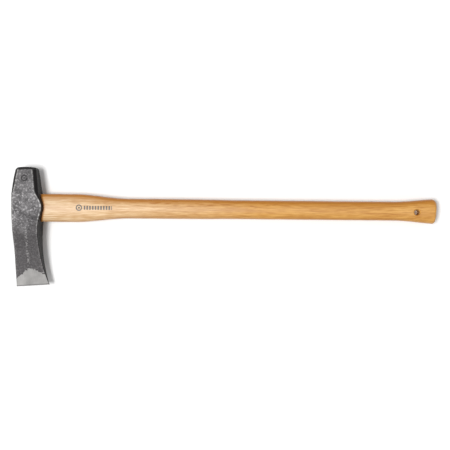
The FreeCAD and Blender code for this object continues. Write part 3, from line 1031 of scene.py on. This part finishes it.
def ring_mesh(gap):
    """The ring wedge. With a gap it is the tool that cuts its groove."""
    s = settings().eye
    outer = (RING_HIGH.y - RING_LOW.y) / 2.0 + gap
    deep = RING_HIGH.x - RING_LOW.x + gap
    top = -4.0 * MM if gap > 0.0 else 0.25 * MM
    lip = 0.0 if gap > 0.0 else 0.45 * MM
    thick = s.ring_thick_wall + 2.0 * gap
    thin = s.ring_thin_wall + 2.0 * gap
    profile = [(top, outer - lip), (top + lip * 0.3, outer - lip * 0.3), (top + lip, outer)]
    profile += [(deep * t, outer) for t in (0.25, 0.5, 0.75)]
    profile += [(deep - 0.6 * MM, outer), (deep, outer - thin * 0.6), (deep - 0.6 * MM, outer - thin)]
    profile += [(deep * t, outer - thick + (thick - thin) * t) for t in (0.75, 0.5, 0.25)]
    profile += [(top + lip, outer - thick), (top + lip * 0.3, outer - thick + lip * 0.3)]
    profile += [(top, outer - thick + lip)]
    if gap > 0.0:
        profile = [(top, outer), (deep, outer), (deep, outer - thin), (top, outer - thick)]
    points, faces = lathe(profile, (OUTER_X, HANDLE_Y, MID_Z), "X", 72)
    if gap <= 0.0:
        near = points[:, 0] < OUTER_X + 2.0 * MM
        points[near, 0] += outer_depth(points[near, 1])
    return new_mesh("ring_wedge", points, [f[::-1] for f in faces])


class MAUL_OT_wooden_wedge(bpy.types.Operator):
    """Drives the wooden wedge into the tongue's slot"""

    bl_idname = "maul.wooden_wedge"
    bl_label = "Wooden wedge"

    def execute(self, context):
        wedge = new_object("driven_wooden_wedge", wedge_mesh(0.0))
        mesh = carve(wedge, ring_mesh(settings().eye.fit_gap))
        shade(mesh, 35.0)
        finish_piece(wedge, "wooden_wedge", wedge_material())
        return {"FINISHED"}


class MAUL_OT_ring_wedge(bpy.types.Operator):
    """Drives the steel ring wedge in over the wooden wedge"""

    bl_idname = "maul.ring_wedge"
    bl_label = "Steel ring wedge"

    def execute(self, context):
        ring = new_object("driven_ring_wedge", ring_mesh(0.0))
        shade(ring.data, 35.0)
        finish_piece(ring, "steel_ring_wedge", ring_material())
        return {"FINISHED"}


# Finishes

def material_graph(name):
    """A new material's graph, its surface shader and the piece's own coordinates."""
    material = bpy.data.materials.new(name)
    material.use_nodes = True
    graph = Graph(material.node_tree)
    shader = material.node_tree.nodes["Principled BSDF"]
    place = graph.node("ShaderNodeTexCoord").outputs["Object"]
    return material, graph, shader, place


def made_once(build):
    """Keeps a finish, so that every piece that asks for it shares it."""
    def get():
        name = build.__name__
        found = bpy.data.materials.get(name)
        return found or build(name)
    return get


@made_once
def steel_material(name="steel_material"):
    """Forged steel: speckled cheeks, a darker blade, black scale with painted shade on the walls, corner wear
    with a painted rim highlight, a painted highlight along the ridge, a ground bevel with painted facet light
    and painted shade at its edge.
    """
    finish = settings().finish
    s = settings().head
    material, graph, shader, place = material_graph(name)

    def stored(attribute):
        return graph.value("ShaderNodeAttribute", "Fac", attribute_name=attribute)

    x, y, _ = graph.split(place)
    zones = ("scale", "wear_and_highlight", "ground", "chamfer", "punch")
    scale, wear_and_highlight, ground, chamfer, punch = (stored(zone) for zone in zones)

    broad = graph.noise(place, 55.0, 3.0, 0.6)
    fleck = graph.noise(place, 300.0, 4.0, 0.65)
    fine = graph.noise(place, 1000.0, 3.0, 0.6)

    def slanted(turn, size):
        spun = graph.node("ShaderNodeMapping", {"Vector": place, "Rotation": (0.0, 0.0, turn)}).outputs[0]
        return graph.grain(spun, (size * 0.28, size, size))

    hatch = graph.most(slanted(0.8, 330.0), slanted(-0.75, 330.0))
    light = graph.step(fleck, 0.50, 0.70) + graph.step(hatch, 0.58, 0.78, 0.0, 0.7)
    speckle = graph.step(broad, 0.35, 0.65, 0.52, 0.92) + light * 0.90
    speckle *= graph.step(fine, 0.35, 0.65, 0.80, 1.15)
    calm = graph.step(fleck, 0.38, 0.66, 0.80, 1.12) + graph.step(fleck, 0.62, 0.72, 0.0, 0.6)
    calm *= graph.step(fine, 0.35, 0.65, 0.84, 1.14) * graph.step(y, -75.0 * MM, -15.0 * MM, 1.03, 0.84)

    above_edge = y - HEAD_LOW.y
    apex_y = -13.0 * MM
    from_apex = x - (OUTER_X + s.ridge_depth - s.ridge_lean * (apex_y - HEAD_LOW.y - s.bevel_top))
    arm = graph.most(from_apex * -0.5, from_apex * 1.2)
    border = apex_y + arm + (broad - 0.5) * (22.0 * MM) + (fleck - 0.5) * (12.0 * MM)
    on_blade = graph.step(border - y, -5.0 * MM, 5.0 * MM)
    # Painted highlight: light flecks along the blade's ridge.
    from_ridge = abs(x - OUTER_X - s.ridge_depth + (above_edge - s.bevel_top) * s.ridge_lean)
    on_ridge = graph.step(from_ridge, 0.8 * MM, 3.4 * MM, 1.0, 0.0) * graph.step(y, 2.0 * MM, -8.0 * MM)
    ridge_highlight_fleck = on_ridge * graph.step(fleck, 0.46, 0.64)

    dusk = graph.step(y, 0.0, 56.0 * MM, 0.66, 1.0)
    low = graph.step(y, 6.0 * MM, 30.0 * MM, 1.0, 0.0)
    aside = low * graph.step(x, OUTER_X + 26.0 * MM, OUTER_X + 42.0 * MM, 0.0, 0.36)
    dusk *= (1.0 - aside) * graph.step(y, 75.0 * MM, 105.0 * MM, 1.0, 0.88)
    skin = graph.mix(on_blade, graph.tinted(finish.cheek, speckle * dusk), graph.tinted(finish.blade, calm))
    skin = graph.mix(ridge_highlight_fleck * 0.45, skin, finish.wear_and_highlight)
    # Painted shade on the walls and chamfers, over their black scale.
    wall = graph.mix(chamfer, graph.tinted(finish.wall, calm), finish.chamfer)
    skin = graph.mix(scale, skin, wall)
    # Corner wear with a painted rim highlight, in flecks.
    rim_wear_and_highlight = wear_and_highlight * graph.step(fleck, 0.42, 0.60, 0.10, 0.75) * graph.step(on_blade, 0.0, 1.0, 1.0, 0.35)
    skin = graph.mix(rim_wear_and_highlight, skin, finish.wear_and_highlight)
    skin = graph.mix(punch * 0.75, skin, finish.chamfer)

    streak = graph.grain(place, (1400.0, 60.0, 60.0))
    cloud = graph.noise(place, 70.0, 2.0)
    bevel_streaks_and_painted_light = graph.step(streak, 0.3, 0.7, 0.95, 1.05) * graph.step(cloud, 0.3, 0.7, 0.90, 1.08)
    # Painted light on the ground bevel: the toe side much lighter and the heel side a little lighter, as lit
    # facets. Painted shade in the lowest 2.6 mm above the blunted edge.
    toe_side = graph.step(x, OUTER_X + 12.0 * MM, OUTER_X + 30.0 * MM, 1.26, 1.0)
    heel_side = graph.step(x, OUTER_X + 40.0 * MM, OUTER_X + 62.0 * MM, 0.97, 1.10)
    tilt = s.heel_rise / (s.heel_depth - s.toe_depth)
    up = above_edge - (x - (OUTER_X + s.toe_depth)) * tilt
    bevel_streaks_and_painted_light *= toe_side * heel_side * graph.step(up, 1.6 * MM, 2.6 * MM, 0.60, 1.0)
    ragged = fine * 0.3 + fleck * 1.7 - 0.95
    cut = graph.step(ground + ragged, 0.46, 0.62) * (1.0 - scale)

    graph.feed(shader.inputs["Base Color"], graph.mix(cut, skin, graph.tinted(finish.ground, bevel_streaks_and_painted_light)))
    bright = (1.0 - scale) * graph.step(on_blade, 0.0, 1.0, 0.5, 0.4)
    graph.feed(shader.inputs["Metallic"], graph.most(bright, cut * 0.75))
    rough = graph.step(fleck, 0.3, 0.7, 0.66, 0.50) * graph.step(cut, 0.0, 1.0, 1.0, 0.72)
    graph.feed(shader.inputs["Roughness"], rough)
    shader.inputs["Specular IOR Level"].default_value = 0.15
    pit = fleck + fine * 0.45
    relief = graph.mix(cut, graph.combine(pit, pit, pit), graph.combine(streak, streak, streak))
    strength = graph.step(cut, 0.0, 1.0, 0.5, 0.08)
    graph.bump(shader, relief, strength, 0.6 * MM)
    return material


def wood_rings(graph, place):
    """Growth rings round a pith beside the handle: 0 to 1 across each ring, and the pith's distance."""
    pith_y, pith_z, lean_y, lean_z, spacing = -45.0 * MM, -40.0 * MM, 0.022, 0.010, 2.6 * MM
    x, y, z = graph.split(place)
    warp = graph.grain(place, (3.2, 22.0, 22.0)) - 0.5
    away_y = x * lean_y + y - pith_y + warp * (16.0 * MM)
    away_z = x * lean_z + z - pith_z + warp * (12.0 * MM)
    radius = graph.distance(away_y, away_z)
    return graph.math("FRACT", radius / spacing), radius


@made_once
def wood_material(name="wood_material"):
    """Oiled straight-grained wood: rings and fibre through the solid, darker ends, oil-darkened wood with
    painted shade at the joint, painted shade on the narrow sides, a painted sheen near the head, a plain
    mark.
    """
    finish = settings().finish
    material, graph, shader, place = material_graph(name)
    x, y, z = graph.split(place)
    ring, radius = wood_rings(graph, place)
    late = graph.step(ring, 0.15, 0.80) * graph.step(ring, 1.0, 0.90)
    year = graph.noise(graph.combine(radius * 210.0, 0.0, 0.0), 1.0, 1.0)

    fibre = graph.grain(place, (14.0, 620.0, 620.0), 3.0, 0.6)
    ribbon = graph.grain(place, (8.0, 260.0, 260.0))
    pore = graph.step(graph.grain(place, (110.0, 1900.0, 1900.0), 1.0), 0.66, 0.74)
    patch = graph.grain(place, (9.0, 60.0, 60.0))

    dash = graph.grain(place, (50.0, 520.0, 520.0), 2.0, 0.6)
    burl = graph.step(graph.grain(place, (48.0, 300.0, 300.0), 1.5), 0.54, 0.64)
    burl *= graph.step(y, HANDLE_Y - 2.0 * MM, HANDLE_Y + 12.0 * MM, 0.22, 1.0)
    burl *= graph.step(x, -260.0 * MM, -120.0 * MM, 0.35, 1.0)
    burl *= graph.step(x, 50.0 * MM, 160.0 * MM, 1.0, 0.35)

    # Paler wood towards the head: partly the wood's own colour and partly a painted sheen of the light
    # falling from the head's side, fading to warm wood at the grip.
    to_grip = graph.step(x, -330.0 * MM, 70.0 * MM, kind="LINEAR")
    base = graph.mix(to_grip, finish.pale_wood_and_painted_sheen, finish.warm_wood)
    depth = late * graph.step(year, 0.3, 0.7, 0.08, 0.30)
    tone = graph.mix(depth, base, finish.late_wood)
    streak = graph.step(fibre, 0.3, 0.7, 0.88, 1.12) * graph.step(ribbon, 0.3, 0.7, 0.92, 1.07)
    streak *= graph.step(dash, 0.28, 0.72, 1.11, 0.88) * graph.step(patch, 0.3, 0.7, 0.95, 1.05)
    tone = graph.mix(1.0, tone, graph.combine(streak, streak ** 1.6, streak ** 2.4), "MULTIPLY")
    tone = graph.mix(pore * 0.22, tone, finish.late_wood)
    tone = graph.mix(burl * 0.62, tone, finish.red_wood)

    normal = graph.node("ShaderNodeNewGeometry").outputs["Normal"]
    lengthwise, upward, _ = graph.split(normal)
    ends = graph.step(abs(lengthwise), 0.80, 0.97) * graph.step(late, 0.0, 1.0, 0.35, 0.80)
    tone = graph.mix(ends, tone, finish.late_wood)
    # Painted shade: the handle's upper narrow side fully, and its lower one up to 0.4, tinted deeper as they
    # turn from the light, partly over darker grain along the upper edge.
    aside = graph.most(graph.step(upward, 0.10, 0.80), graph.step(upward, -0.50, -1.0, 0.0, 0.40))
    tone = graph.mix(aside, tone, finish.deep_wood_and_shade)
    # Painted shade where the wood enters the eye, over oil-darkened wood: a deeper band within 6.5 mm of the
    # joint and a near-black one within 2.2 mm.
    reach = graph.value("ShaderNodeAttribute", "Fac", attribute_name="reach")
    tone = graph.mix(graph.step(reach, 1.5 * MM, 6.5 * MM, 0.95, 0.0), tone, finish.deep_wood_and_shade)
    tone = graph.mix(graph.step(reach, 0.6 * MM, 2.2 * MM, 1.0, 0.0), tone, finish.joint_oil_and_shade)

    tone = graph.mix(mark_mask(graph, x, y, z) * 0.95, tone, finish.mark)
    graph.feed(shader.inputs["Base Color"], tone)
    graph.feed(shader.inputs["Roughness"], graph.step(fibre, 0.3, 0.7, 0.36, 0.50))
    shader.inputs["Coat Weight"].default_value = 0.05
    shader.inputs["Specular IOR Level"].default_value = 0.35
    shader.inputs["Coat Roughness"].default_value = 0.32
    graph.bump(shader, fibre * 0.6 - pore * 0.5 + late * 0.35, 0.35, 0.25 * MM)
    return material


def mark_mask(graph, x, y, z):
    """A plain printed mark: a ring with a dot, and a row of short upright bars beside it."""
    mark_x, mark_rise, ring_radius, bar_pitch, row_end = -275.0 * MM, 0.6 * MM, 4.9 * MM, 5.2 * MM, 62.0 * MM
    along = x - mark_x
    across = y - (HANDLE_Y + mark_rise)
    away = graph.distance(along, across)
    ring = graph.step(abs(away - ring_radius), 1.0 * MM, 1.3 * MM, 1.0, 0.0)
    dot = graph.step(away, 1.8 * MM, 2.1 * MM, 1.0, 0.0)
    bar = graph.step(graph.math("PINGPONG", along, bar_pitch / 2.0), 1.55 * MM, 1.75 * MM, 1.0, 0.0)
    height = graph.step(abs(across), 3.5 * MM, 3.8 * MM, 1.0, 0.0)
    row = graph.step(along, 8.9 * MM, 9.1 * MM) * graph.step(along, row_end, row_end + 0.2 * MM, 1.0, 0.0)
    shape = graph.most(graph.most(ring, dot), bar * height * row)
    return shape * graph.math("GREATER_THAN", z, MID_Z)


@made_once
def wedge_material(name="wedge_material"):
    """The wooden wedge: darker wood whose fibre runs along the wedge."""
    finish = settings().finish
    material, graph, shader, place = material_graph(name)
    fibre = graph.grain(place, (60.0, 500.0, 900.0), 3.0, 0.6)
    bands = graph.grain(place, (8.0, 150.0, 400.0))
    value = graph.step(fibre, 0.3, 0.7, 0.75, 1.2) * graph.step(bands, 0.3, 0.7, 0.8, 1.15)
    graph.feed(shader.inputs["Base Color"], graph.tinted(finish.wedge_wood, value))
    shader.inputs["Roughness"].default_value = 0.62
    graph.bump(shader, fibre, 0.5, 0.3 * MM)
    return material


@made_once
def ring_material(name="ring_material"):
    """The ring wedge: turned steel with a fine mottle all over."""
    finish = settings().finish
    material, graph, shader, place = material_graph(name)
    mottle = graph.noise(place, 420.0, 4.0, 0.6)
    value = graph.step(mottle, 0.3, 0.7, 0.72, 1.2)
    graph.feed(shader.inputs["Base Color"], graph.tinted(finish.ring, value))
    shader.inputs["Metallic"].default_value = 0.9
    graph.feed(shader.inputs["Roughness"], graph.step(mottle, 0.3, 0.7, 0.52, 0.36))
    graph.bump(shader, mottle, 0.4, 0.3 * MM)
    return material


# The stage

KEY_PLACE, KEY_SIZE, KEY_POWER = (-1.54, -0.33, 6.0), (1.7, 1.25), 300.0
CAMERA_PLACE, CAMERA_ROLL, CAMERA_LENS = (0.4 * MM, 7.3 * MM, 1.900 + MID_Z), 0.56, 80.08


class MAUL_OT_stage(bpy.types.Operator):
    """Lays the floor and sets the lights, the sky and the camera"""

    bl_idname = "maul.stage"
    bl_label = "Stage"

    def execute(self, context):
        scene = context.scene
        scene.view_settings.view_transform = "Standard"
        scene.view_settings.look = "None"
        self.lay_floor()
        self.set_world(scene)
        self.set_light()
        self.set_camera(scene)
        return {"FINISHED"}

    def lay_floor(self):
        reach = 6.0
        corners = [(-reach, -reach, 0.0), (reach, -reach, 0.0), (reach, reach, 0.0), (-reach, reach, 0.0)]
        floor = new_object("studio_floor", new_mesh("studio_floor", corners, [(0, 1, 2, 3)]))
        material, graph, shader, place = material_graph("studio_floor")
        cloud = graph.noise(place, 3.0, 2.0)
        tint = graph.step(cloud, 0.0, 1.0, 0.99, 1.0)
        pale = graph.tinted(settings().finish.floor, tint)
        graph.feed(shader.inputs["Base Color"], pale)
        shader.inputs["Roughness"].default_value = 0.9
        floor.data.materials.append(material)

    def set_world(self, scene):
        world = bpy.data.worlds.new("studio")
        scene.world = world
        world.use_nodes = True
        graph = Graph(world.node_tree)
        background = world.node_tree.nodes["Background"]
        background.inputs["Color"].default_value = (1.0, 1.0, 1.0, 1.0)
        height = graph.split(graph.node("ShaderNodeTexCoord").outputs["Generated"])[2]
        light = graph.step(height, 0.0, 1.0, 0.12, 0.62, kind="LINEAR")    # dim at the horizon, soft above
        seen = graph.value("ShaderNodeLightPath", "Is Camera Ray")
        backdrop = seen * 0.86
        graph.feed(background.inputs["Strength"], graph.math("MAXIMUM", light, backdrop))

    def set_light(self):
        data = bpy.data.lights.new("key", "AREA")
        data.shape = "RECTANGLE"
        data.size, data.size_y = KEY_SIZE
        data.energy = KEY_POWER
        lamp = new_object("key", data)
        lamp.location = KEY_PLACE
        aim = Vector((-0.2, 0.0, 0.0)) - Vector(KEY_PLACE)
        lamp.rotation_euler = aim.to_track_quat("-Z", "Y").to_euler()

    def set_camera(self, scene):
        data = bpy.data.cameras.new("camera")
        data.lens = CAMERA_LENS
        data.sensor_width = 36.0
        data.clip_end = 50.0
        camera = new_object("camera", data)
        camera.location = CAMERA_PLACE
        camera.rotation_euler = (0.0, 0.0, math.radians(CAMERA_ROLL))
        scene.camera = camera


# Registration

class MAUL_PG_all(bpy.types.PropertyGroup):
    """All settings of the maul."""

    head: bpy.props.PointerProperty(type=MAUL_PG_head)
    handle: bpy.props.PointerProperty(type=MAUL_PG_handle)
    eye: bpy.props.PointerProperty(type=MAUL_PG_eye)
    finish: bpy.props.PointerProperty(type=MAUL_PG_finish)


PIECES = (MAUL_OT_head, MAUL_OT_handle, MAUL_OT_wooden_wedge, MAUL_OT_ring_wedge, MAUL_OT_stage)


class MAUL_PT_panel(bpy.types.Panel):
    """The maul's pieces and sizes in the 3D view's sidebar"""

    bl_label = "Splitting Maul"
    bl_idname = "MAUL_PT_panel"
    bl_space_type = "VIEW_3D"
    bl_region_type = "UI"
    bl_category = "Maul"

    def draw(self, context):
        for piece in PIECES:
            self.layout.operator(piece.bl_idname)
        for group in (settings().head, settings().handle, settings().eye, settings().finish):
            box = self.layout.box()
            for name in group.__annotations__:
                box.prop(group, name)


CLASSES = (MAUL_PG_head, MAUL_PG_handle, MAUL_PG_eye, MAUL_PG_finish, MAUL_PG_all, *PIECES, MAUL_PT_panel)


def register():
    for item in CLASSES:
        bpy.utils.register_class(item)
    bpy.types.Scene.maul = bpy.props.PointerProperty(type=MAUL_PG_all)


def unregister():
    del bpy.types.Scene.maul
    for item in reversed(CLASSES):
        bpy.utils.unregister_class(item)


def main():
    register()
    for step in (bpy.ops.maul.stage, bpy.ops.maul.head, bpy.ops.maul.handle,
                 bpy.ops.maul.wooden_wedge, bpy.ops.maul.ring_wedge):
        step()


if __name__ == "__main__":
    main()
